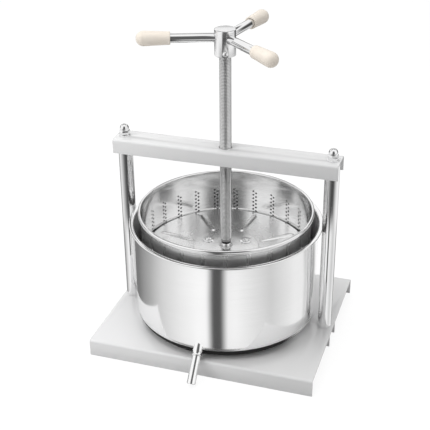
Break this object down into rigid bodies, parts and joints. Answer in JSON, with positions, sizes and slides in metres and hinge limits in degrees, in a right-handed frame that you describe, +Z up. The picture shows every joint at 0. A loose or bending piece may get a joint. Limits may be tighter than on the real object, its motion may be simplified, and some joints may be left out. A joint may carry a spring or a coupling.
{
  "type": "fruit wine press",
  "caption": "Hand-turned screw press: a pot with a spout and a strainer basket on a folded base, a bridge of two columns and a beam, and a pressing plate driven by a handle with arms.",
  "frame": {"origin": "on the floor, at the middle of the rectangle that the press covers, spout included; the screw's axis stands 14.66 mm behind it", "axes": "+Z up along the screw; +X to the right of someone who faces the spout; the spout points to -Y"},
  "size_m": [0.32, 0.3014, 0.448],
  "materials": {
    "white_coat": "glossy white powder coat",
    "polished_steel": "polished",
    "pot_steel": "polished stainless sheet",
    "basket_steel": "satin stainless sheet",
    "plate_steel": "satin stainless sheet",
    "screw_steel": "turned steel",
    "dark_steel": "oiled dark steel",
    "grip_rubber": "smooth ivory rubber"
  },
  "bodies": {
    "frame": {"base_tray": "white_coat", "cross_channel": "white_coat", "left_column": "polished_steel", "right_column": "polished_steel", "base_washers": "polished_steel", "base_nuts": "polished_steel", "cross_beam": "white_coat", "beam_washers": "polished_steel", "cap_nuts": "polished_steel", "screw_nut": "screw_steel", "basket": "basket_steel", "pot": "pot_steel", "spout": "pot_steel"},
    "presser": {"press_plate": "plate_steel", "spindle_seat": "plate_steel", "seat_washers": "polished_steel", "seat_bolts": "polished_steel", "seat_nuts": "polished_steel", "thrust_washer": "dark_steel"},
    "spindle": {"press_screw": "screw_steel", "retaining_ring": "dark_steel", "handle_hub": "polished_steel", "hub_screw": "polished_steel", "left_arm": "polished_steel", "front_arm": "polished_steel", "back_arm": "polished_steel", "left_grip": "grip_rubber", "front_grip": "grip_rubber", "back_grip": "grip_rubber"}
  },
  "joints": [
    {"name": "plate_slide", "type": "slide", "parent": "frame", "child": "presser", "axis": [0, 0, 1], "range_m": [-0.075, 0.124]},
    {"name": "screw_turn", "type": "hinge", "parent": "presser", "child": "spindle", "pos_m": [0, 0.01466, 0.4], "axis": [0, 0, 1], "range_deg": [-13500, 22320]}
  ],
  "couplings": [
    {"joint": "plate_slide", "follows": "screw_turn", "m_per_rad": 0.00031831}
  ]
}
